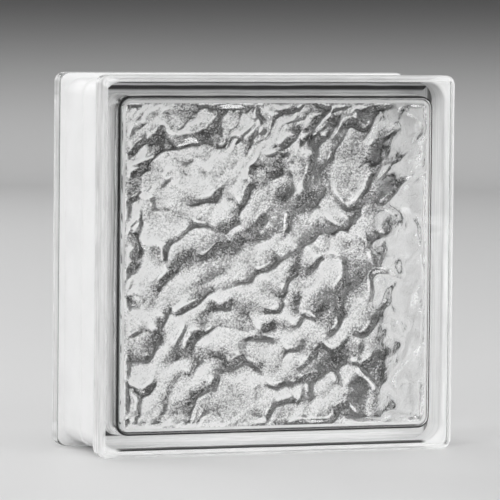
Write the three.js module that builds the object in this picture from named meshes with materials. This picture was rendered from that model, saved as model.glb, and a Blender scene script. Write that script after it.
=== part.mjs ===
// Hollow glass block for walls, nominal 8 x 8 x 3 in, with an ice relief inside its two panes.
// Millimetres, +Z up. The block stands on its lower flanges with its front pane facing -Y, and the
// origin is under its middle. Two pressed glass pans are fused rim to rim at y = 0, and a thin white
// coat covers the mortar channel that runs round the four sides.

import * as THREE from 'three';

// Overall size: the nominal size less one mortar joint.
const blockWidth = 196.85;
const blockHeight = 196.85;
const blockDepth = 79.375;

// Flange: the rim of each face, which stands proud of the mortar channel.
const faceCornerRadius = 2;
const faceEdgeRadius = 3;
const landWidth = 7.5;
const landEdgeRound = 0.8;

// Mortar channel between the two flanges.
const channelDepth = 3.8;
const channelCornerRadius = 9.5;
const flangeSlopeRun = 1.8;
const flangeFootRound = 1.6;

// Seam: the two rims swell a little where they are fused.
const seamBeadHeight = 0.5;
const seamBeadHalfWidth = 1.8;

// Thickness of the glass, and the inside of the pan, whose walls have draft.
const paneThickness = 7.5;
const wallAtPane = 7.2;
const wallAtSeam = 6;
const paneCornerRadius = 3.5;
const cavityFilletRadius = 3;

// Ice relief on the inner face of each pane: broad flakes that overlap like shingles, with finer
// flakes on them. They lean up to the right, and their edges waver.
const reliefMargin = 0.6;
const reliefStep = 3.6;
const reliefFade = 3;
const flakePitch = 20;
const flakeRise = 2.2;
const fineFlakePitch = 9.5;
const fineFlakeRise = 1.4;
const flakeLean = 40;
const flakeStretch = 1.1;
const waverPitch = 35;
const waverReach = 8;
const fineWaverPitch = 8;
const fineWaverReach = 2.5;

// Shape of one flake, for a pitch and a rise of 1: how far it lies above or below the others, its
// tilt across the lean, its hollow, its roll along the lean, and how softly it meets the next one.
const flakeSpread = 1.8;
const flakeTilt = 0.6;
const flakeBow = 1;
const flakeRoll = 2.4;
const scarpSoftness = 0.26;

// Each half has a relief of its own, chosen by a number.
const frontPattern = 1;
const backPattern = 40;

// White coat on the channel, just clear of the glass.
const coatThickness = 0.5;
const coatClearance = 0.3;

// Facets of a corner's quarter turn, and of a round in a profile.
const cornerFacets = 6;
const edgeFacets = 4;
const roundFacets = 3;

const halfDepth = blockDepth / 2;
const landEnd = halfDepth - faceEdgeRadius;
const landStart = landEnd - landWidth;
const flangeCornerRadius = faceCornerRadius + faceEdgeRadius;
const paneLevel = halfDepth - paneThickness;
const paneInset = channelDepth + wallAtPane + cavityFilletRadius;
const reliefInset = paneInset + reliefMargin;
const reliefCornerRadius = paneCornerRadius - reliefMargin;

// ---------------------------------------------------------------------------------------------
// Profiles. A profile point has its inset from the flange's land, its reach from the seam towards
// the face, and the radius that the square section's corners have there.

function profileOf(path, facets, cornerAt) {
  return path.getPoints(facets).map(({ x, y }) => ({ inset: x, reach: y, corner: cornerAt(x) }));
}

// The side of the pan between the seam and the flange's land: bead, channel floor, slope.
function channelProfile() {
  const foot = new THREE.Vector2(channelDepth, landStart - flangeSlopeRun);
  const crest = new THREE.Vector2(0, landStart);
  const rise = crest.clone().sub(foot).normalize();
  const slopeStart = foot.clone().addScaledVector(rise, flangeFootRound);
  const slopeEnd = crest.clone().addScaledVector(rise, -landEdgeRound);
  const beadInset = channelDepth - seamBeadHeight;
  const beadMiddle = seamBeadHalfWidth / 2;

  const path = new THREE.Path();
  path.moveTo(beadInset, 0);
  path.bezierCurveTo(beadInset, beadMiddle, channelDepth, beadMiddle, channelDepth, seamBeadHalfWidth);
  path.lineTo(channelDepth, foot.y - flangeFootRound);
  path.quadraticCurveTo(foot.x, foot.y, slopeStart.x, slopeStart.y);
  path.lineTo(slopeEnd.x, slopeEnd.y);
  const cornerGrowth = (channelCornerRadius - flangeCornerRadius) / channelDepth;
  return profileOf(path, roundFacets, (inset) => flangeCornerRadius + cornerGrowth * inset);
}

// The flange, from the end of the slope over its land and edge to the flat of the face.
function flangeProfile(slopeEnd) {
  const land = new THREE.Path();
  land.moveTo(slopeEnd.inset, slopeEnd.reach);
  land.quadraticCurveTo(0, landStart, 0, landStart + landEdgeRound);
  const edge = new THREE.Path();
  edge.absarc(faceEdgeRadius, landEnd, faceEdgeRadius, Math.PI, Math.PI / 2, true);
  return [
    ...profileOf(land, roundFacets, () => flangeCornerRadius).slice(1),
    ...profileOf(edge, edgeFacets, (inset) => flangeCornerRadius - inset),
  ];
}

// The inside of the pan, from the edge of the pane's relief over the fillet and wall to the seam.
function cavityProfile() {
  const seamInset = channelDepth + wallAtSeam;
  const path = new THREE.Path();
  const filletCentre = paneLevel - cavityFilletRadius;
  path.absarc(paneInset, filletCentre, cavityFilletRadius, Math.PI / 2, Math.PI, false);
  path.lineTo(seamInset, 0);
  return profileOf(path, edgeFacets, (inset) => paneCornerRadius + paneInset - inset);
}

// The same profile, moved away from the glass by a distance.
function offsetProfile(profile, distance) {
  return profile.map((point, index) => {
    const before = profile[Math.max(index - 1, 0)];
    const after = profile[Math.min(index + 1, profile.length - 1)];
    const run = new THREE.Vector2(after.inset - before.inset, after.reach - before.reach).normalize();
    const shift = index === 0 ? distance : distance * run.y;
    return {
      inset: point.inset - shift,
      reach: index === 0 ? point.reach : point.reach + distance * run.x,
      corner: point.corner + shift,
    };
  });
}

// The same profile past the seam, in the opposite order and without the point that both share.
function mirrored(profile) {
  return profile.slice(1).reverse().map((point) => ({ ...point, reach: -point.reach }));
}

// ---------------------------------------------------------------------------------------------
// Rings and skins. The front pane is at -y, so a reach from the seam becomes a negative y.

// A rounded rectangle round the block's middle, as points in the x, y, z of the block.
function ringAt({ inset, reach, corner }) {
  const centreX = blockWidth / 2 - inset - corner;
  const centreZ = blockHeight / 2 - inset - corner;
  const quarter = Math.PI / 2;
  const ring = [];
  for (let turn = 0; turn < 4; turn += 1) {
    const sideX = turn === 0 || turn === 3 ? 1 : -1;
    const sideZ = turn < 2 ? 1 : -1;
    for (let step = 0; step <= cornerFacets; step += 1) {
      const angle = quarter * (turn + step / cornerFacets);
      const x = sideX * centreX + corner * Math.cos(angle);
      const z = sideZ * centreZ + corner * Math.sin(angle);
      ring.push([x, -reach, z]);
    }
  }
  return ring;
}

// Collects vertices and triangles of one closed skin.
class Skin {
  constructor() {
    this.vertices = [];
    this.triangles = [];
  }

  addLoop(points) {
    const first = this.vertices.length / 3;
    points.forEach((point) => this.vertices.push(...point));
    return points.map((point, index) => first + index);
  }

  // Triangles between two loops that have the same number of points.
  joinLoops(near, far) {
    near.forEach((corner, index) => {
      const next = (index + 1) % near.length;
      this.triangles.push(corner, near[next], far[index]);
      this.triangles.push(near[next], far[next], far[index]);
    });
  }

  // Triangles in the flat band between two loops round one middle, taken in order of angle.
  zipLoops(near, far) {
    const angleOf = (vertex) => Math.atan2(this.vertices[3 * vertex + 2], this.vertices[3 * vertex]);
    const unwrapped = (loop) => {
      const angles = loop.map(angleOf);
      const first = angles.indexOf(Math.min(...angles));
      const turned = loop.map((vertex, index) => loop[(first + index) % loop.length]);
      const sorted = turned.map(angleOf);
      return { loop: [...turned, turned[0]], angles: [...sorted, sorted[0] + 2 * Math.PI] };
    };
    const inner = unwrapped(near);
    const outer = unwrapped(far);
    let i = 0;
    let j = 0;
    while (i < near.length || j < far.length) {
      const advanceInner = j === far.length || (i < near.length && inner.angles[i + 1] < outer.angles[j + 1]);
      if (advanceInner) {
        this.triangles.push(inner.loop[i], inner.loop[i + 1], outer.loop[j]);
        i += 1;
      } else {
        this.triangles.push(inner.loop[i], outer.loop[j + 1], outer.loop[j]);
        j += 1;
      }
    }
  }

  // A flat lid on a loop.
  closeLoop(loop) {
    for (let index = 1; index < loop.length - 1; index += 1) {
      this.triangles.push(loop[0], loop[index], loop[index + 1]);
    }
  }

  toGeometry() {
    const geometry = new THREE.BufferGeometry();
    geometry.setAttribute('position', new THREE.Float32BufferAttribute(this.vertices, 3));
    geometry.setIndex(this.triangles);
    geometry.computeVertexNormals();
    return geometry;
  }
}

// ---------------------------------------------------------------------------------------------
// Ice relief. Each flake has a centre scattered in a cell of a square lattice. Near its centre a
// flake sets the height, and where two flakes are equally near, the step between them is a scarp.

// The lattice's numbers, and how far round a place its flakes count.
const columnStride = 12.9898;
const rowStride = 78.233;
const saltStride = 37.719;
const scatter = 43758.5453;
const flakeReach = 2;

// What each further number of a cell is for.
const acrossSalt = 1;
const levelSalt = 2;
const tiltSalt = 3;
const rollSalt = 4;
const fineSalt = 5;
const waverSaltX = 11;
const waverSaltZ = 12;
const fineWaverSaltX = 13;
const fineWaverSaltZ = 14;

// A number from 0 to 1 that belongs to a cell of the lattice.
function cellNumber(column, row, salt) {
  const spread = Math.sin(column * columnStride + row * rowStride + salt * saltStride) * scatter;
  return spread - Math.floor(spread);
}

// Height of the flakes at a place, for a pitch and a rise of 1.
function flakeHeight(u, v, salt) {
  const column = Math.floor(u);
  const row = Math.floor(v);
  let height = 0;
  let weight = 0;
  for (let i = column - flakeReach; i <= column + flakeReach; i += 1) {
    for (let j = row - flakeReach; j <= row + flakeReach; j += 1) {
      const along = u - i - cellNumber(i, j, salt);
      const across = v - j - cellNumber(i, j, salt + acrossSalt);
      const nearness = Math.exp(-(along ** 2 + across ** 2) / scarpSoftness);
      const level = flakeSpread * (cellNumber(i, j, salt + levelSalt) - 0.5);
      const tilt = flakeTilt * (1 + flakeSpread * (cellNumber(i, j, salt + tiltSalt) - 0.5));
      const roll = flakeRoll * (cellNumber(i, j, salt + rollSalt) - 0.5);
      height -= nearness * (level + tilt * across + flakeBow * across ** 2 + roll * along);
      weight += nearness;
    }
  }
  return height / weight;
}

// A gentle rise and fall between -1 and 1, which moves the flakes' edges about.
function smoothNoise(u, v, salt) {
  const { lerp, smoothstep } = THREE.MathUtils;
  const column = Math.floor(u);
  const row = Math.floor(v);
  const blend = smoothstep(u - column, 0, 1);
  const along = (i) => lerp(cellNumber(column, i, salt), cellNumber(column + 1, i, salt), blend);
  return lerp(along(row), along(row + 1), smoothstep(v - row, 0, 1)) * 2 - 1;
}

// How far the pane's inner face stands into the cavity at a place on it.
function iceRelief(x, z, pattern) {
  const lean = THREE.MathUtils.degToRad(flakeLean);
  let shiftedX = x + waverReach * smoothNoise(x / waverPitch, z / waverPitch, pattern + waverSaltX);
  let shiftedZ = z + waverReach * smoothNoise(x / waverPitch, z / waverPitch, pattern + waverSaltZ);
  shiftedX += fineWaverReach * smoothNoise(x / fineWaverPitch, z / fineWaverPitch, pattern + fineWaverSaltX);
  shiftedZ += fineWaverReach * smoothNoise(x / fineWaverPitch, z / fineWaverPitch, pattern + fineWaverSaltZ);
  const along = (shiftedX * Math.cos(lean) + shiftedZ * Math.sin(lean)) / flakeStretch;
  const across = shiftedZ * Math.cos(lean) - shiftedX * Math.sin(lean);
  const broad = flakeRise * flakeHeight(along / flakePitch, across / flakePitch, pattern);
  const finePattern = pattern + fineSalt;
  const fine = fineFlakeRise * flakeHeight(along / fineFlakePitch, across / fineFlakePitch, finePattern);
  return broad + fine;
}

// The relief as a grid over the pane, flat along its border, whose corners are rounded off. The
// grid's diagonals run the way the flakes lean.
function addRelief(skin, pattern) {
  const halfWidth = blockWidth / 2 - reliefInset;
  const halfHeight = blockHeight / 2 - reliefInset;
  const columns = Math.round((2 * halfWidth) / reliefStep);
  const rows = Math.round((2 * halfHeight) / reliefStep);
  const cornerCut = reliefCornerRadius * (1 - Math.SQRT1_2);
  const points = [];
  for (let row = 0; row <= rows; row += 1) {
    for (let column = 0; column <= columns; column += 1) {
      const atCorner = (row === 0 || row === rows) && (column === 0 || column === columns);
      let x = halfWidth * ((2 * column) / columns - 1);
      let z = halfHeight * ((2 * row) / rows - 1);
      if (atCorner) {
        x -= Math.sign(x) * cornerCut;
        z -= Math.sign(z) * cornerCut;
      }
      const border = Math.min(halfWidth - Math.abs(x), halfHeight - Math.abs(z));
      const fade = atCorner ? 0 : THREE.MathUtils.smoothstep(border, 0, reliefFade);
      points.push([x, -paneLevel + fade * iceRelief(x, z, pattern), z]);
    }
  }
  const grid = skin.addLoop(points);
  const at = (column, row) => grid[row * (columns + 1) + column];
  for (let row = 0; row < rows; row += 1) {
    for (let column = 0; column < columns; column += 1) {
      const low = at(column, row);
      const high = at(column + 1, row + 1);
      skin.triangles.push(low, at(column, row + 1), high);
      skin.triangles.push(low, high, at(column + 1, row));
    }
  }
  const border = [];
  for (let row = 0; row < rows; row += 1) border.push(at(columns, row));
  for (let column = columns; column > 0; column -= 1) border.push(at(column, rows));
  for (let row = rows; row > 0; row -= 1) border.push(at(0, row));
  for (let column = 0; column < columns; column += 1) border.push(at(column, 0));
  return border;
}

// ---------------------------------------------------------------------------------------------
// Pieces.

// One pressed pan, with its pane towards -y and its rim at y = 0.
function panGeometry(pattern) {
  const skin = new Skin();
  const reliefBorder = addRelief(skin, pattern);
  const channel = channelProfile();
  const flange = flangeProfile(channel[channel.length - 1]);
  const loops = [...cavityProfile(), ...channel, ...flange].map((point) => skin.addLoop(ringAt(point)));
  skin.zipLoops(reliefBorder, loops[0]);
  for (let index = 1; index < loops.length; index += 1) {
    skin.joinLoops(loops[index - 1], loops[index]);
  }
  skin.closeLoop(loops[loops.length - 1]);
  return skin.toGeometry();
}

// The coat runs round the channel, from one flange's slope over the seam to the other's.
function coatGeometry() {
  const skin = new Skin();
  const sheetAt = (distance) => {
    const half = offsetProfile(channelProfile(), distance);
    return [...mirrored(half), ...half];
  };
  const section = [...sheetAt(coatClearance + coatThickness), ...sheetAt(coatClearance).reverse()];
  const loops = section.map((point) => skin.addLoop(ringAt(point)));
  loops.forEach((loop, index) => skin.joinLoops(loop, loops[(index + 1) % loops.length]));
  return skin.toGeometry();
}

const glass = new THREE.MeshPhysicalMaterial({ color: 0xf4f8f7, roughness: 0.06, metalness: 0 });
const coat = new THREE.MeshStandardMaterial({ color: 0xf0f0ee, roughness: 0.6, metalness: 0 });

const glassBlock = new THREE.Group();
glassBlock.position.z = blockHeight / 2;

const frontHalf = new THREE.Mesh(panGeometry(frontPattern), glass);
frontHalf.name = 'front_half';
glassBlock.add(frontHalf);

// The back half is turned round.
const backHalf = new THREE.Mesh(panGeometry(backPattern), glass.clone());
backHalf.name = 'back_half';
backHalf.rotation.z = Math.PI;
glassBlock.add(backHalf);

const edgeCoating = new THREE.Mesh(coatGeometry(), coat);
edgeCoating.name = 'edge_coating';
glassBlock.add(edgeCoating);

export default glassBlock;
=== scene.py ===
import math
import bpy
import numpy as np
from mathutils import Matrix, Vector


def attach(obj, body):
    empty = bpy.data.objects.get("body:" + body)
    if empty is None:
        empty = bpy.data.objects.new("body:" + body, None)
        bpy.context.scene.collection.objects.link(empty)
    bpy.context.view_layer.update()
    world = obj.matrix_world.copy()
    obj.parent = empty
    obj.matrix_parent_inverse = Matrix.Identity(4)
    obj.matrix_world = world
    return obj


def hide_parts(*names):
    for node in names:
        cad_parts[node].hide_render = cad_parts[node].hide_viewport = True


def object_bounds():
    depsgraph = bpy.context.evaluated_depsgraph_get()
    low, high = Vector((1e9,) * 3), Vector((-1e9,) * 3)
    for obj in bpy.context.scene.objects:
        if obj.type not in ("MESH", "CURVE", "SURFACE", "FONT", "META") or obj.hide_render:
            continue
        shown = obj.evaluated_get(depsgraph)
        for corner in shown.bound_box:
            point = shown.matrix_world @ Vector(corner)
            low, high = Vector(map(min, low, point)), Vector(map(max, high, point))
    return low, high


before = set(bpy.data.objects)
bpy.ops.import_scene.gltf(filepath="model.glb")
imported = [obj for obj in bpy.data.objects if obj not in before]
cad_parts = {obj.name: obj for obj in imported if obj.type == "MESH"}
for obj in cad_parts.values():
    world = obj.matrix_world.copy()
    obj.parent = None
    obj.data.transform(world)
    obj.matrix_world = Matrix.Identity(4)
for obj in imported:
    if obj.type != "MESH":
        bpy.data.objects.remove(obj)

cad_low, cad_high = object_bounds()

# ---------------------------------------------------------------------------------------------
# Glass pans.
# The block is two square pans of clear glass, pressed in a mould and fused rim to rim. Each has a
# proud flange round a flat face, four drafted walls, and an ice relief inside its face.

half_width = (cad_high[0] - cad_low[0]) / 2
half_height = (cad_high[2] - cad_low[2]) / 2
half_depth = (cad_high[1] - cad_low[1]) / 2
middle_height = (cad_high[2] + cad_low[2]) / 2

face_edge_radius = 0.003
flange_corner_radius = 0.005
land_width = 0.0075
land_edge_round = 0.0008
channel_depth = 0.0038
channel_corner_radius = 0.0095
flange_slope_run = 0.0018
flange_foot_round = 0.0016
seam_bead_height = 0.0005
seam_bead_half_width = 0.0018
seam_gap = 0.00001
pane_thickness = 0.0075
wall_at_pane = 0.0072
wall_at_seam = 0.006
cavity_corner_radius = 0.0065
cavity_fillet_radius = 0.003
relief_margin = 0.0006
relief_corner_radius = 0.003

corner_facets = 14
round_facets = 8
shading_hold = 0.0002
same_point = 1e-6

land_end = half_depth - face_edge_radius
land_start = land_end - land_width
pane_level = half_depth - pane_thickness
wall_inset = channel_depth + wall_at_pane
pane_inset = wall_inset + cavity_fillet_radius
relief_inset = pane_inset + relief_margin


def bezier(points, steps):
    """Points along the curve that the control points draw."""
    line = []
    for t in np.linspace(0, 1, steps + 1):
        left = [np.array(p, float) for p in points]
        while len(left) > 1:
            left = [a + (b - a) * t for a, b in zip(left, left[1:])]
        line.append(left[0])
    return line


def arc(centre, radius, start, end, steps):
    """Points round a centre, from one angle in degrees to another."""
    turns = np.radians(np.linspace(start, end, steps + 1))
    return [np.array(centre) + radius * np.array((math.cos(t), math.sin(t))) for t in turns]


def straight(start, end):
    """A run with a point just inside each end, so that its shading stays flat."""
    start = np.array(start, float)
    end = np.array(end, float)
    step = (end - start) / np.linalg.norm(end - start) * shading_hold
    return [start, start + step, end - step, end]


def join(*runs):
    """The runs as one line. A point that two of them share is in it once."""
    line = []
    for run in runs:
        for point in run:
            if not line or np.linalg.norm(point - line[-1]) > same_point:
                line.append(point)
    return line


def channel_line():
    """The side of a pan from the seam to the top of the flange's slope, as inset and reach."""
    foot = np.array((channel_depth, land_start - flange_slope_run))
    crest = np.array((0, land_start))
    rise = (crest - foot) / np.linalg.norm(crest - foot)
    slope_start = foot + rise * flange_foot_round
    slope_end = crest - rise * land_edge_round
    floor_end = (channel_depth, foot[1] - flange_foot_round)
    top = channel_depth - seam_bead_height
    middle = seam_bead_half_width / 2
    bead_end = (channel_depth, seam_bead_half_width)
    bead = bezier(((top, seam_gap), (top, middle), (channel_depth, middle), bead_end), round_facets)
    floor = straight(bead[-1], floor_end)
    foot_round = bezier((floor_end, foot, slope_start), round_facets)
    return join(bead, floor, foot_round, straight(slope_start, slope_end))


def flange_line(slope_end):
    """The flange's outer side, from its slope to the flat face."""
    land = (0, land_start + land_edge_round)
    crest = bezier((slope_end, (0, land_start), land), round_facets)
    edge = arc((face_edge_radius, land_end), face_edge_radius, 180, 90, 2 * round_facets)
    return join(crest, straight(land, (0, land_end)), edge, [edge[-1] + (shading_hold, 0)])


def cavity_line():
    """The inside of a pan, from the fillet at its face to the seam."""
    centre = (pane_inset, pane_level - cavity_fillet_radius)
    fillet = arc(centre, cavity_fillet_radius, 90, 180, 2 * round_facets)
    seam = (channel_depth + wall_at_seam, seam_gap)
    return join([fillet[0] + (shading_hold, 0)], fillet, straight(fillet[-1], seam))


def side_corner(inset):
    """The radius of a pan's corners on its side, which grows into the channel."""
    growth = (channel_corner_radius - flange_corner_radius) / channel_depth
    return flange_corner_radius + growth * inset


def edge_corner(inset):
    """The radius of its corners on the rounded edge of the face."""
    return flange_corner_radius - inset


def cavity_corner(inset):
    """The radius of its corners inside, which grows towards the seam."""
    return cavity_corner_radius + wall_inset - inset


def ring(inset, reach, corner):
    """A rounded rectangle round the block's middle, anticlockwise as seen from the front."""
    across = half_width - inset - corner
    up = half_height - inset - corner
    turns = np.radians(np.linspace(0, 90, corner_facets + 1))
    bend = np.array([(corner * math.cos(t), corner * math.sin(t)) for t in turns])
    points = []
    for quarter, (side, rise) in enumerate(((1, 1), (-1, 1), (-1, -1), (1, -1))):
        c = (1, 0, -1, 0)[quarter]
        s = (0, 1, 0, -1)[quarter]
        turned = np.stack((bend[:, 0] * c - bend[:, 1] * s, bend[:, 0] * s + bend[:, 1] * c), 1)
        turned += (side * across, rise * up)
        before = turned[0] - np.array((-s, c)) * shading_hold
        after = turned[-1] + np.array((-c, -s)) * shading_hold
        points += [before, *turned, after]
    return [(x, -reach, z + middle_height) for x, z in points]


class Skin:
    """The vertices and faces of one piece, gathered loop by loop."""

    def __init__(self):
        self.points = []
        self.faces = []
        self.slots = []

    def add(self, points):
        """Adds points, and returns their numbers."""
        first = len(self.points)
        self.points += [tuple(p) for p in points]
        return list(range(first, len(self.points)))

    def face(self, corners, slot=0):
        self.faces.append(corners)
        self.slots.append(slot)

    def loft(self, near, far, slot=0):
        """Four-sided faces between two loops that have as many points."""
        for i in range(len(near)):
            n = (i + 1) % len(near)
            self.face((near[i], near[n], far[n], far[i]), slot)

    def turned(self, loop):
        """A loop that starts at its lowest angle and comes back to it, with its angles."""
        angles = [math.atan2(self.points[v][2] - middle_height, self.points[v][0]) for v in loop]
        k = angles.index(min(angles))
        loop = loop[k:] + loop[:k] + [loop[k]]
        angles = angles[k:] + angles[:k] + [angles[k] + 2 * math.pi]
        return loop, angles

    def zip(self, near, far):
        """Triangles in the flat band between two loops round one middle."""
        inner, inner_angles = self.turned(near)
        outer, outer_angles = self.turned(far)
        i = j = 0
        while i < len(near) or j < len(far):
            if j == len(far) or (i < len(near) and inner_angles[i + 1] < outer_angles[j + 1]):
                self.face((inner[i], inner[i + 1], outer[j]))
                i += 1
            else:
                self.face((inner[i], outer[j + 1], outer[j]))
                j += 1

    def build(self, name, finishes):
        mesh = bpy.data.meshes.new(name)
        mesh.from_pydata(self.points, [], self.faces)
        for finish in finishes:
            mesh.materials.append(finish)
        mesh.polygons.foreach_set("material_index", self.slots)
        mesh.polygons.foreach_set("use_smooth", [True] * len(self.faces))
        mesh.update()
        piece = bpy.data.objects.new(name, mesh)
        bpy.context.scene.collection.objects.link(piece)
        return piece


# The relief is broad flakes that overlap like shingles. Each hollows a little and ends in a steep
# scarp, finer flakes ride on them, they climb to the right, and their edges waver. Small curls
# crowd in near the border of the pane.

relief_cells = 270
relief_fade = 0.003
fold_cells = 2
full_fold = 300
flake_pitch = 0.020
flake_rise = 0.0022
fine_pitch = 0.0095
fine_rise = 0.0014
flake_lean = math.radians(40)
flake_stretch = 1.1
flake_spread = 1.8
flake_tilt = 0.6
flake_bow = 1.0
flake_roll = 2.4
scarp_softness = 0.26
waver_pitch = 0.035
waver_reach = 0.008
fine_waver_pitch = 0.008
fine_waver_reach = 0.0025
curl_pitch = 0.0055
curl_stretch = 1.4
curl_rise = 0.0006
curl_crowding = 0.9
crowd_pitch = 0.05
crowd_reach = 0.025
not_zero = 1e-9

# What is added to a pattern's number, so that its layers differ.
fine_salt = 5
curl_salt = 9
waver_salt = 11
fine_waver_salt = 13
crowd_salt = 20

# What spreads a cell's column, row and salt into a number that looks random.
column_spread = 12.9898
row_spread = 78.233
salt_spread = 37.719
last_spread = 43758.5453


def cell_number(column, row, salt):
    """A number from 0 to 1 that stays the same for one cell of a lattice."""
    turn = np.sin(column * column_spread + row * row_spread + salt * salt_spread)
    spread = turn * last_spread
    return spread - np.floor(spread)


def smooth(t):
    """Eases in and out between 0 and 1."""
    return t * t * (3 - 2 * t)


def flakes(u, v, salt):
    """Tilted and hollowed flakes, one to each cell of a lattice."""
    column = np.floor(u)
    row = np.floor(v)
    height = np.zeros_like(u)
    weight = np.zeros_like(u)
    for i in range(-2, 3):
        for j in range(-2, 3):
            c = column + i
            r = row + j
            du = u - c - cell_number(c, r, salt)
            dv = v - r - cell_number(c, r, salt + 1)
            near = np.exp(-(du * du + dv * dv) / scarp_softness)
            level = flake_spread * (cell_number(c, r, salt + 2) - 0.5)
            tilt = flake_tilt * (1 + flake_spread * (cell_number(c, r, salt + 3) - 0.5))
            roll = flake_roll * (cell_number(c, r, salt + 4) - 0.5)
            height -= near * (level + tilt * dv + flake_bow * dv * dv + roll * du)
            weight += near
    return height / weight


def smooth_noise(u, v, salt):
    """A slow drift between -1 and 1."""
    column = np.floor(u)
    row = np.floor(v)
    fu = smooth(u - column)
    fv = smooth(v - row)
    rows = []
    for r in (row, row + 1):
        rows.append(cell_number(column, r, salt) * (1 - fu) + cell_number(column + 1, r, salt) * fu)
    return (rows[0] * (1 - fv) + rows[1] * fv) * 2 - 1


def ice_relief(x, z, seed):
    """How far the relief stands into the cavity."""
    wx = x
    wz = z
    slow = (waver_pitch, waver_reach, seed + waver_salt)
    quick = (fine_waver_pitch, fine_waver_reach, seed + fine_waver_salt)
    for pitch, reach, salt in (slow, quick):
        wx = wx + reach * smooth_noise(x / pitch, z / pitch, salt)
        wz = wz + reach * smooth_noise(x / pitch, z / pitch, salt + 1)
    along = (wx * math.cos(flake_lean) + wz * math.sin(flake_lean)) / flake_stretch
    across = wz * math.cos(flake_lean) - wx * math.sin(flake_lean)
    broad = flake_rise * flakes(along / flake_pitch, across / flake_pitch, seed)
    fine = fine_rise * flakes(along / fine_pitch, across / fine_pitch, seed + fine_salt)
    across_curl = across / curl_pitch * curl_stretch
    curls = curl_rise * flakes(along / curl_pitch, across_curl, seed + curl_salt)
    from_edge = np.minimum(half_width - np.abs(x), half_height - np.abs(z)) - relief_inset
    crowded = smooth_noise(x / crowd_pitch, z / crowd_pitch, seed + crowd_salt) + curl_crowding
    return broad + fine + curls * np.clip(crowded - from_edge / crowd_reach, 0, 1)


def add_relief(skin, slot, seed):
    """The relief as a grid over the pane. Returns the loop round its border, and how sharply the
    relief turns at each vertex: above 0 in a valley of its cavity side, below 0 on a crest."""
    across = half_width - relief_inset
    up = half_height - relief_inset
    n = relief_cells
    column, row = np.meshgrid(np.arange(n + 1), np.arange(n + 1))
    x = across * (2 * column / n - 1)
    z = up * (2 * row / n - 1)
    border = np.minimum(across - np.abs(x), up - np.abs(z))
    y = ice_relief(x, z, seed) * smooth(np.clip(border / relief_fade, 0, 1))
    wide = np.pad(y, fold_cells, mode="edge")
    k = fold_cells
    around = wide[2 * k:, k:-k] + wide[:-2 * k, k:-k] + wide[k:-k, 2 * k:] + wide[k:-k, :-2 * k]
    fold = (around - 4 * y) / (2 * across / n * k) ** 2 / full_fold
    # The grid's corners are drawn in to a round.
    out_x = np.maximum(np.abs(x) - (across - relief_corner_radius), 0)
    out_z = np.maximum(np.abs(z) - (up - relief_corner_radius), 0)
    pull = np.maximum(out_x, out_z) / np.maximum(np.hypot(out_x, out_z), not_zero)
    corner = (out_x > 0) & (out_z > 0)
    x = np.where(corner, np.sign(x) * (across - relief_corner_radius + out_x * pull), x)
    z = np.where(corner, np.sign(z) * (up - relief_corner_radius + out_z * pull), z)
    vertices = skin.add(zip(x.ravel(), (y - pane_level).ravel(), (z + middle_height).ravel()))
    at = np.array(vertices).reshape(n + 1, n + 1)
    for r in range(n):
        for c in range(n):
            skin.face((at[r, c], at[r + 1, c], at[r + 1, c + 1], at[r, c + 1]), slot)
    right = list(at[:n, n])
    top = list(at[n, n:0:-1])
    left = list(at[n:0:-1, 0])
    bottom = list(at[0, :n])
    return [int(v) for v in right + top + left + bottom], fold.ravel()


clear_slot = 0
relief_slot = 1
seam_slot = 2


def pan(name, finishes, seed):
    """One pan. Its rim is the fused seam."""
    skin = Skin()
    border, fold = add_relief(skin, relief_slot, seed)
    channel = channel_line()
    flange = flange_line(channel[-1])[1:]
    edge_from = next(i for i, p in enumerate(flange) if p[1] > land_end)
    rings = [ring(i, r, cavity_corner(i)) for i, r in cavity_line()]
    seam_at = len(rings)
    rings += [ring(i, r, side_corner(i)) for i, r in channel]
    rings += [ring(i, r, flange_corner_radius) for i, r in flange[:edge_from]]
    rings += [ring(i, r, edge_corner(i)) for i, r in flange[edge_from:]]
    loops = [skin.add(r) for r in rings]
    skin.zip(border, loops[0])
    for k in range(1, len(loops)):
        skin.loft(loops[k - 1], loops[k], seam_slot if k == seam_at else clear_slot)
    skin.face(tuple(loops[-1]))
    piece = skin.build(name, finishes)
    folds = np.zeros(len(piece.data.vertices))
    folds[:len(fold)] = fold
    piece.data.attributes.new("fold", "FLOAT", "POINT").data.foreach_set("value", folds)
    return piece


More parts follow.
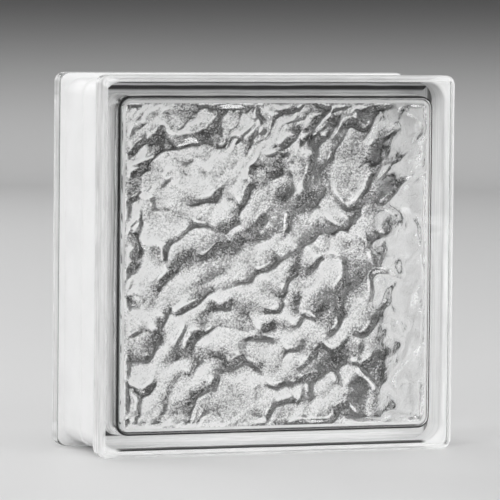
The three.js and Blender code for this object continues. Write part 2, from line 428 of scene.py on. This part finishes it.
class Wire:
    """A socket of a finish. Sums of wires add Math nodes, and node() adds any other node."""

    def __init__(self, tree, socket=None):
        self.tree = tree
        self.socket = socket

    def node(self, kind, settings=(), sockets=(), output=0):
        made = self.tree.nodes.new("ShaderNode" + kind)
        for name, value in dict(settings).items():
            if name == "stops":
                ramp = made.color_ramp
                while len(ramp.elements) < len(value):
                    ramp.elements.new(1)
                for stop, (position, level) in zip(ramp.elements, value):
                    stop.position = position
                    stop.color = tone(level)
            else:
                setattr(made, name, value)
        for name, value in dict(sockets).items():
            if isinstance(value, Wire):
                self.tree.links.new(value.socket, made.inputs[name])
            else:
                made.inputs[name].default_value = value
        if made.outputs:
            return Wire(self.tree, made.outputs[output])

    def maths(self, operation, *values):
        return self.node("Math", {"operation": operation}, dict(enumerate(values)))

    def __add__(self, other):
        return self.maths("ADD", self, other)

    __radd__ = __add__

    def __sub__(self, other):
        return self.maths("SUBTRACT", self, other)

    def __rsub__(self, other):
        return self.maths("SUBTRACT", other, self)

    def __mul__(self, other):
        return self.maths("MULTIPLY", self, other)

    __rmul__ = __mul__

    def __neg__(self):
        return self * -1

    def __abs__(self):
        return self.maths("ABSOLUTE", self)

    def above(self, other):
        """The larger of the two."""
        return self.maths("MAXIMUM", self, other)

    def step(self, low, high):
        """0 below low, 1 above high, and smooth between."""
        sockets = {"Value": self, "From Min": low, "From Max": high}
        return self.node("MapRange", {"interpolation_type": "SMOOTHSTEP"}, sockets)

    def fade(self, low, high):
        """1 below low, 0 above high, and smooth between."""
        return 1 - self.step(low, high)

    def between(self, low, high):
        """The colour this far from low to high, which are a Mix node's sockets 6 and 7."""
        return self.node("Mix", {"data_type": "RGBA"}, {0: self, 6: low, 7: high}, 2)

    def grey(self, low, high):
        """The grey this far from one level to another."""
        return self.between(tone(low), tone(high))

    def parts(self):
        split = self.node("SeparateXYZ", {}, {0: self})
        return [Wire(self.tree, s) for s in split.socket.node.outputs]


def tone(level):
    return (level, level, level, 1)


def new_finish(name):
    finish = bpy.data.materials.new(name)
    finish.use_nodes = True
    finish.node_tree.nodes.clear()
    return finish, Wire(finish.node_tree)


def end_finish(surface):
    surface.node("OutputMaterial", {}, {"Surface": surface})


def where(wire):
    """Where a point lies, in the frame's metres."""
    return wire.node("TexCoord", output="Object")


def from_middle(wire):
    """Where a point lies, from the middle of the block."""
    sockets = {0: where(wire), 1: (0, 0, middle_height)}
    return wire.node("VectorMath", {"operation": "SUBTRACT"}, sockets)


def noise(at, scale, detail, **sockets):
    sockets.update(Vector=at, Scale=scale, Detail=detail)
    return at.node("TexNoise", {}, sockets)


def bump(height, metres, **sockets):
    """The normal of a surface that stands up by the height, times so many metres."""
    sockets.update(Distance=metres, Height=height)
    return height.node("Bump", {}, sockets, "Normal")


def blend(share, low, high):
    """The shader that lies this share of the way from low to high."""
    return low.node("MixShader", {}, {0: share, 1: low, 2: high})


def powder(wire, level, **sockets):
    """White dust, which sends back half of the light and lets the other half through."""
    sockets.update(Color=tone(level))
    dust = wire.node("BsdfDiffuse", {}, sockets)
    glow = wire.node("BsdfTranslucent", {}, sockets)
    return blend(0.5, dust, glow)


glass_ior = 1.52
lamp_share = 0.97


def glass(wire, colour, roughness, normal):
    sockets = {"Base Color": colour, "Roughness": roughness}
    sockets.update({"IOR": glass_ior, "Transmission Weight": 1, "Normal": normal})
    return wire.node("BsdfPrincipled", {}, sockets)


def lamps_through(surface):
    """Lets the lamps reach what is behind the glass."""
    clear = surface.node("BsdfTransparent", {}, {"Color": tone(lamp_share)})
    to_lamp = surface.node("LightPath", output="Is Shadow Ray")
    return blend(to_lamp, surface, clear)


# Fire-polished glass: long shallow waves, and painted shade, a darker tint, where an edge or a
# fillet turns. A streaked haze lies on the lands, the rim of the face, the walls and the margin of
# the pane, and a painted shadow, black and matt, lies on the steep part of the fillet and the wall
# beside it.
glass_tint = (0.985, 0.99, 0.988, 1)
round_shade_tint = (0.8, 0.824, 0.816, 1)
fillet_shade_tint = (0.25, 0.275, 0.2675, 1)
wave_scale = 45
wave_depth = 0.0003

# Here and below, a mask's pair of numbers is where it starts to change and where it is done.
turn_range = (0.01, 0.25)
hollow_rim = (0.0085, 0.0095)
land_rim = (0.0004, 0.0014)
land_facing = (0.6, 0.95)
face_rim = (0.0028, 0.0036)
wall_facing = (0.5, 0.9)
wall_haze_end = (0.018, 0.026)
wall_shadow_start = (0.023, 0.031)
margin_facing = (0.93, 0.985)
fillet_start = (0.06, 0.12)
fillet_end = (0.68, 0.80)

haze_white = 0.95
land_haze = 0.55
face_haze = 0.65
flat_share = 0.6
wall_haze = 0.45
margin_haze = 0.6
rub_scale = 700
rub_stretch = 0.06
rub_range = (0.3, 0.7)
rub_share = 0.2
wall_rub_share = 0.3
shadow_black = 0.01
wall_shadow = 0.77

clear_glass, wire = new_finish("clear_glass")
x, y, z = from_middle(wire).parts()
rim = half_width - abs(x).above(abs(z))
depth = abs(y)
facing = wire.node("NewGeometry", output="Normal")
nx, ny, nz = wire.node("VectorMath", {"operation": "ABSOLUTE"}, {0: facing}).parts()
turning = (1 - nx.above(ny).above(nz)).step(*turn_range)
outside = depth.step(pane_level, land_end)
inside = rim.step(*hollow_rim) * (1 - outside)
on_wall = inside * (1 - ny).step(*wall_facing)

# Painted shade: the glass is tinted darker where its edges and fillets turn, darkest in the
# fillets.
colour = turning.between(glass_tint, outside.between(fillet_shade_tint, round_shade_tint))
waved = bump(noise(where(wire), wave_scale, detail=1), wave_depth)
surface = glass(wire, colour, roughness=0.0, normal=waved)

drag = wire.node("CombineXYZ", {}, {"X": rub_stretch * (x + z), "Y": y})
rub = noise(drag, rub_scale, detail=1).step(*rub_range)
on_land = rim.fade(*land_rim) * nx.above(nz).step(*land_facing)
on_face_rim = outside * rim.fade(*face_rim) * (turning * (1 - flat_share) + flat_share)
haze = on_land * (rub * rub_share + land_haze)
haze = haze.above(on_face_rim * (rub * rub_share + face_haze))
haze = haze.above(on_wall * depth.fade(*wall_haze_end) * (rub * wall_rub_share + wall_haze))
haze = haze.above(inside * ny.step(*margin_facing) * margin_haze)
surface = blend(haze, surface, powder(wire, haze_white))

# Painted shadow: a black matt skin on the steep part of the fillet and on the deep wall beside it.
shadow = inside * ny.step(*fillet_start) * ny.fade(*fillet_end)
shadow = shadow.above(on_wall * depth.step(*wall_shadow_start) * wall_shadow)
surface = blend(shadow, surface, wire.node("BsdfDiffuse", {}, {"Color": tone(shadow_black)}))
end_finish(lamps_through(surface))

# The fused seam inside the walls: a streaked, milky veil, with dark lines of painted shade on it.
# At the top, the foot and the sides they lie at other depths in the wall.
veil_white = 0.9
veil_haze = 0.7
streak_share = 0.25
streak_scale = 900
streak_stretch = 0.04
streak_range = (0.35, 0.65)
corner_range = (0, 0.0005)
painted_shade_black = 0.02
painted_shade_roughness = 0.5
top_shade_line_start = (0.0040, 0.0042)
top_shade_line_end = (0.0045, 0.0047)
top_shade_start = (0.0057, 0.0060)
top_shade_end = (0.0074, 0.0088)
foot_shade_start = (0.0091, 0.0096)
side_shade_end = (0.0054, 0.0064)
side_shade_share = 0.6


def side_mask(outward, along):
    """One of the block's four sides, as far as its corners."""
    return (outward - abs(along)).step(*corner_range)


# A black matt skin for the lines of painted shade.
def painted_shade_skin(wire):
    sockets = {"Base Color": tone(painted_shade_black), "Roughness": painted_shade_roughness}
    return wire.node("BsdfPrincipled", {}, sockets)


seam_glass, wire = new_finish("seam_glass")
x, y, z = from_middle(wire).parts()
reach = abs(x).above(abs(z))
inset = half_width - reach
drag = wire.node("CombineXYZ", {}, {"X": reach, "Z": streak_stretch * (x + z)})
streaks = noise(drag, streak_scale, detail=2).step(*streak_range)
clear = wire.node("BsdfTransparent", {}, {"Color": tone(1.0)})
veil = blend(streaks * streak_share + veil_haze, clear, powder(wire, veil_white))
at_top = side_mask(z, x)
at_foot = side_mask(-z, x)
at_sides = 1 - at_top - at_foot
# Painted shade: dark lines on the seam, at their own depths at the top, the foot and the sides.
painted_shade_lines = at_top * inset.step(*top_shade_start) * inset.fade(*top_shade_end)
painted_shade_lines = painted_shade_lines.above(at_top * inset.step(*top_shade_line_start) * inset.fade(*top_shade_line_end))
painted_shade_lines = painted_shade_lines.above(at_foot * inset.step(*foot_shade_start))
painted_shade_lines = painted_shade_lines.above(at_sides * inset.fade(*side_shade_end) * side_shade_share)
end_finish(blend(painted_shade_lines, veil, painted_shade_skin(wire)))

# The relief's own skin: grit frosting, with painted light and shade as if lit from the upper left.
# Slopes that face that way and crests get more frosting and painted light, lee sides and valleys
# less frosting and painted shade, and steep scarps are painted dark. The frosting thins and the
# painted shade deepens towards each pan's right-hand wall, where a bare strip lets its white coat
# show through.
# The painted light on the relief falls from the upper left, so much down and so much to the right.
painted_light_down = 0.8
painted_light_right = 0.6
painted_light_range = (-0.31, 0.47)
painted_shade_rightward = 2.2
frost_share = 0.93
frost_white = 0.97
frost_and_shade_tones = (0.06, 1.0)
frost_roughness = 0.15
clear_roughness = 0.10
valley_shade_range = (0.2, 1.0)
valley_shade_loss = 0.5
crest_highlight_range = (0.3, 1.0)
crest_highlight_gain = 0.7
steep_shade_range = (0.3, 0.9)
scarp_shade_range = (0.18, 0.42)
scarp_shade_strength = 0.97
scarp_shade_tones = (0.0, 0.05)
scarp_grit_range = (0.5, 1)
scarp_grit_share = 0.3
grit_size = 1 / 1500
grit_share = 0.47
grit_bump = 0.2
grit_depth = 0.0002
bare_range = (0.056, 0.064)
bare_slant = 0.03
bare_loss = 0.6
bare_share = 0.9
crinkle_scale = 230
crinkle_twist = 0.6
crinkle_depth = 0.0003

ice_glass, wire = new_finish("ice_glass")
x, y, z = where(wire).parts()
crinkle = noise(where(wire), crinkle_scale, detail=3, Distortion=crinkle_twist)
crinkled = bump(crinkle, crinkle_depth)
nx, ny, nz = crinkled.parts()
into_cavity = -wire.maths("SIGN", y)
rightward = x * into_cavity
# How far a slope faces the painted light: above 0 it is painted light, below 0 painted shade.
slope = (nz * painted_light_down - nx * painted_light_right) * wire.maths("SIGN", ny) * into_cavity
# Steep slopes get painted shade, and steep lee scarps are painted nearly black.
steep = wire.maths("SQRT", 1 - ny * ny).step(*steep_shade_range)
scarp = (-slope).step(*scarp_shade_range) * scarp_shade_strength
fold = wire.node("Attribute", {"attribute_name": "fold"}, output="Fac")
# Valleys of the relief get painted shade, and its crests a painted highlight.
valley = fold.step(*valley_shade_range)
crest = (-fold).step(*crest_highlight_range)
bare = (rightward + slope * bare_slant).step(*bare_range)
cells = wire.node("TexVoronoi", {}, {"Vector": where(wire), "Scale": 1 / grit_size}, "Color")
grit = cells.parts()[0]

# Frosting laid out by the painted light, with grit.
frost_and_painted_light = slope.step(*painted_light_range) * (1 - steep) + (grit - 0.5) * grit_share
# Painted shade: less frosting, so darker glass, towards the pan's right-hand wall.
frost_and_painted_light = frost_and_painted_light - rightward * painted_shade_rightward
frost_and_painted_light = frost_and_painted_light - valley * valley_shade_loss + crest * crest_highlight_gain - bare * bare_loss
scarp_grit = scarp * grit.step(*scarp_grit_range) * scarp_grit_share
cover_and_painted_light = frost_and_painted_light.step(0, 1) * (1 - scarp) + scarp_grit
# Where the frosting is thin the glass is tinted dark: painted shade.
colour = scarp.between(cover_and_painted_light.grey(*frost_and_shade_tones), grit.grey(*scarp_shade_tones))
colour = (bare_share * bare).between(colour, tone(frost_white))
roughness = cover_and_painted_light * frost_roughness + clear_roughness
surface = glass(wire, colour, roughness, normal=crinkled)
stipple = bump(grit, grit_depth, Strength=grit_bump, Normal=crinkled)
surface = blend(frost_share * cover_and_painted_light, surface, powder(wire, frost_white, Normal=stipple))
end_finish(lamps_through(surface))

# The back pan is the same pressing with a relief of its own, turned half round.
front_pattern = 1
back_pattern = 40

front_glass = pan("front_glass", [clear_glass, ice_glass, seam_glass], front_pattern)
back_glass = pan("back_glass", [clear_glass, ice_glass, seam_glass], back_pattern)
half_turn = np.empty(len(back_glass.data.vertices) * 3)
back_glass.data.vertices.foreach_get("co", half_turn)
half_turn = half_turn.reshape(-1, 3) * (-1, -1, 1)
back_glass.data.vertices.foreach_set("co", half_turn.ravel())
back_glass.data.update()
for piece, node in ((front_glass, "front_half"), (back_glass, "back_half")):
    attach(piece, "root")
    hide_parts(node)

# ---------------------------------------------------------------------------------------------
# Edge coat.
# White resin paint on the mortar channel and the flanges' slopes. It is brushed on after the two
# pans are fused, keys the mortar, and grips the glass, so the glass shows it bright from inside.

coat_thickness = 0.0005
coat_clearance = 0.0003
coat_bite = 0.00005
outside_slot = 0
bond_slot = 1


def offset_line(line, distance):
    """The line moved out, square to its run. Its first point goes straight out."""
    moved = []
    for k, point in enumerate(line):
        before = line[max(k - 1, 0)]
        after = line[min(k + 1, len(line) - 1)]
        run = (after - before) / np.linalg.norm(after - before)
        side = np.array((-1.0, 0.0)) if k == 0 else np.array((-run[1], run[0]))
        moved.append(point + side * distance)
    return moved


def both_ways(line):
    """The line with its mirror image on the other side of the seam."""
    return [(i, -r) for i, r in line[:0:-1]] + [(i, r) for i, r in line]


def coat(finishes):
    """One closed skin, whose underside bites a little into the glass."""
    skin = Skin()
    channel = channel_line()
    over = both_ways(offset_line(channel, coat_clearance + coat_thickness))
    under = both_ways(offset_line(channel, -coat_bite))
    loops = [skin.add(ring(i, r, side_corner(max(i, 0)))) for i, r in over + under[::-1]]
    for k in range(len(loops)):
        slot = bond_slot if k >= len(over) else outside_slot
        skin.loft(loops[k], loops[(k + 1) % len(loops)], slot)
    return skin.build("edge_coat", finishes)


coat_glow = 0.98
coat_glow_share = 0.15


def thin_paint(wire, sockets):
    """White paint that lets a little light through."""
    paint = wire.node("BsdfPrincipled", {}, sockets)
    glow = wire.node("BsdfTranslucent", {}, {"Color": tone(coat_glow)})
    return blend(coat_glow_share, paint, glow)


# The side that grips the glass: bright white with long brush strokes along the channel, and a
# thin line of painted shade at the block's foot, which stops short of its corners.
bond_tones = (0.8, 0.98)
bond_roughness = 0.6
stroke_scale = 500
stroke_stretch = 0.04
stroke_range = (0.35, 0.65)
foot_shade_line_start = (0.018, 0.020)
foot_shade_line_end = (0.0277, 0.0279)
foot_shade_line_stop = (0.0835, 0.0875)

bond_white, wire = new_finish("bond_white")
x, y, z = from_middle(wire).parts()
depth = abs(y)
drag = wire.node("CombineXYZ", {}, {"X": stroke_stretch * (x + z), "Y": y})
strokes = noise(drag, stroke_scale, detail=3).step(*stroke_range)
sockets = {"Base Color": strokes.grey(*bond_tones), "Roughness": bond_roughness}
at_foot = side_mask(-z, x)
# Painted shade: a thin dark line at the block's foot, which stops short of its corners.
foot_shade_line = at_foot * depth.step(*foot_shade_line_start) * depth.fade(*foot_shade_line_end)
foot_shade_line = foot_shade_line * abs(x).fade(*foot_shade_line_stop)
end_finish(blend(foot_shade_line, thin_paint(wire, sockets), painted_shade_skin(wire)))

# The side that the mortar grips: matt, faintly clouded, with the fine peel of brushed paint.
coat_tones = (0.90, 0.94)
coat_roughness = 0.45
cloud_scale = 60
cloud_range = (0.3, 0.7)
cloud_roughness = 0.2
peel_scale = 700
peel_bump = 0.5
peel_depth = 0.0001

coat_white, wire = new_finish("coat_white")
cloud = noise(where(wire), cloud_scale, detail=3)
colour = cloud.step(*cloud_range).grey(*coat_tones)
roughness = cloud * cloud_roughness + coat_roughness
peel = bump(noise(where(wire), peel_scale, detail=2), peel_depth, Strength=peel_bump)
end_finish(thin_paint(wire, {"Base Color": colour, "Roughness": roughness, "Normal": peel}))

edge_coat = coat([coat_white, bond_white])
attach(edge_coat, "root")
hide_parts("edge_coating")

# ---------------------------------------------------------------------------------------------
# Studio floor.
# A round sheet of pale grey paper that bends up into a low wall all round. It is shaded darker up
# the wall, so that the edges of the clear glass stand out against it.

floor_radius = 3.6
floor_bend = 0.5
floor_rise = 0.55
floor_sides = 96
bend_facets = 16
bend_lead = 0.01
flat_tone = 0.70
wall_tone = 0.06
shaded_height = 0.26
fibre_scale = 9
fibre_tones = (0.985, 1.0)
paper_roughness = 0.6

flat_radius = floor_radius - floor_bend
line = [(flat_radius - bend_lead, 0.0), (flat_radius, 0.0)]
for t in np.linspace(0, math.pi / 2, bend_facets + 1)[1:]:
    line.append((flat_radius + floor_bend * math.sin(t), floor_bend - floor_bend * math.cos(t)))
line.append((floor_radius, floor_rise))
skin = Skin()
turns = [2 * math.pi * k / floor_sides for k in range(floor_sides)]
loops = [skin.add([(r * math.cos(t), r * math.sin(t), z) for t in turns]) for r, z in line]
skin.face(tuple(loops[0]))
for near, far in zip(loops, loops[1:]):
    skin.loft(far, near)

floor_paper, wire = new_finish("floor_paper")
height = where(wire).parts()[2]
shade = height.step(0.0, shaded_height).grey(flat_tone, wall_tone)
fibre = noise(where(wire), fibre_scale, detail=4).grey(*fibre_tones)
multiply = {"data_type": "RGBA", "blend_type": "MULTIPLY"}
mottled = wire.node("Mix", multiply, {0: 1.0, 6: shade, 7: fibre}, 2)
sockets = {"Base Color": mottled, "Roughness": paper_roughness}
end_finish(wire.node("BsdfPrincipled", {}, sockets))
floor = skin.build("floor", [floor_paper])

# ---------------------------------------------------------------------------------------------
# Studio light.
# Soft light from all round, dimmer overhead, with softboxes above, at the left and behind, and a
# low one in front. Past the paper the glass sees a dark room with a bright ceiling, which draws
# its edges and its relief.

dome_stops = ((0.0, 0.82), (0.55, 0.82), (0.9, 0.3))
room_stops = ((0.02, 0.30), (0.12, 0.05), (0.60, 0.05), (0.75, 1.0))

scene = bpy.context.scene
world = bpy.data.worlds.new("studio")
scene.world = world
world.use_nodes = True
world.node_tree.nodes.clear()
wire = Wire(world.node_tree)
upward = wire.node("TexCoord", output="Generated").parts()[2]
dome = wire.node("ValToRGB", {"stops": dome_stops}, {0: upward})
room = wire.node("ValToRGB", {"stops": room_stops}, {0: upward})
camera_ray = wire.node("LightPath", output="Is Camera Ray")
glossy_ray = wire.node("LightPath", output="Is Glossy Ray")
glass_ray = wire.node("LightPath", output="Is Transmission Ray")
matt_bounces = wire.node("LightPath", output="Diffuse Depth")
before_matt = wire.maths("LESS_THAN", matt_bounces, 0.5)
seen = camera_ray.above(glossy_ray).above(glass_ray) * before_matt
soft_light = wire.node("Background", {}, {"Color": dome, "Strength": 1.0})
seen_room = wire.node("Background", {}, {"Color": room, "Strength": 1.0})
wire.node("OutputWorld", {}, {"Surface": blend(seen, soft_light, seen_room)})


def softbox(name, place, aim, size, watts):
    light = bpy.data.lights.new(name, "AREA")
    light.shape = "SQUARE"
    light.size = size
    light.energy = watts
    box = bpy.data.objects.new(name, light)
    scene.collection.objects.link(box)
    box.location = place
    box.rotation_euler = (Vector(aim) - Vector(place)).to_track_quat("-Z", "Y").to_euler()
    return box


top_softbox = softbox("top_softbox", (0, 0, 1.7), aim=(0, 0, 0), size=1.2, watts=7)
softbox("left_softbox", (-2.5, -1.5, 1.1), aim=(0, 0, 0.1), size=1.2, watts=30)
softbox("back_softbox", (-1.0, 2.4, 1.4), aim=(0, 0, 0.1), size=2.0, watts=25)
low_fill = softbox("low_fill", (1.5, -2.2, 0.15), aim=(0, 0, 0.1), size=1.0, watts=45)
low_fill.visible_camera = False
for box in (top_softbox, low_fill):
    box.visible_glossy = False
    box.visible_transmission = False

# ---------------------------------------------------------------------------------------------
# Camera.
# It stands to the left of the block's front, a little above its top, far enough away for the
# block's edges to run almost parallel.

eye_place = (-0.8401, -2.1803, 0.2398)
yaw = math.radians(21.034)
pitch = math.radians(3.327)
roll = math.radians(0.554)
focal_pixels = 4442.6
picture_pixels = 500
sensor_width = 36
far_clip = 20

eye = bpy.data.objects.new("camera", bpy.data.cameras.new("camera"))
scene.collection.objects.link(eye)
scene.camera = eye
ahead = math.cos(pitch)
forward = Vector((math.sin(yaw) * ahead, math.cos(yaw) * ahead, -math.sin(pitch)))
right = Vector((math.cos(yaw), -math.sin(yaw), 0))
up = right.cross(forward)
eye_right = math.cos(roll) * right + math.sin(roll) * up
eye_up = math.cos(roll) * up - math.sin(roll) * right
turned = Matrix((eye_right, eye_up, -forward)).transposed().to_4x4()
eye.matrix_world = Matrix.Translation(eye_place) @ turned
eye.data.sensor_width = sensor_width
eye.data.lens = focal_pixels / picture_pixels * sensor_width
eye.data.clip_end = far_clip

scene.view_settings.view_transform = "Standard"

# Light crosses many faces of glass before it is lost, so it may bounce often.
scene.cycles.max_bounces = 32
scene.cycles.diffuse_bounces = 10
scene.cycles.transmission_bounces = 24
scene.cycles.glossy_bounces = 24
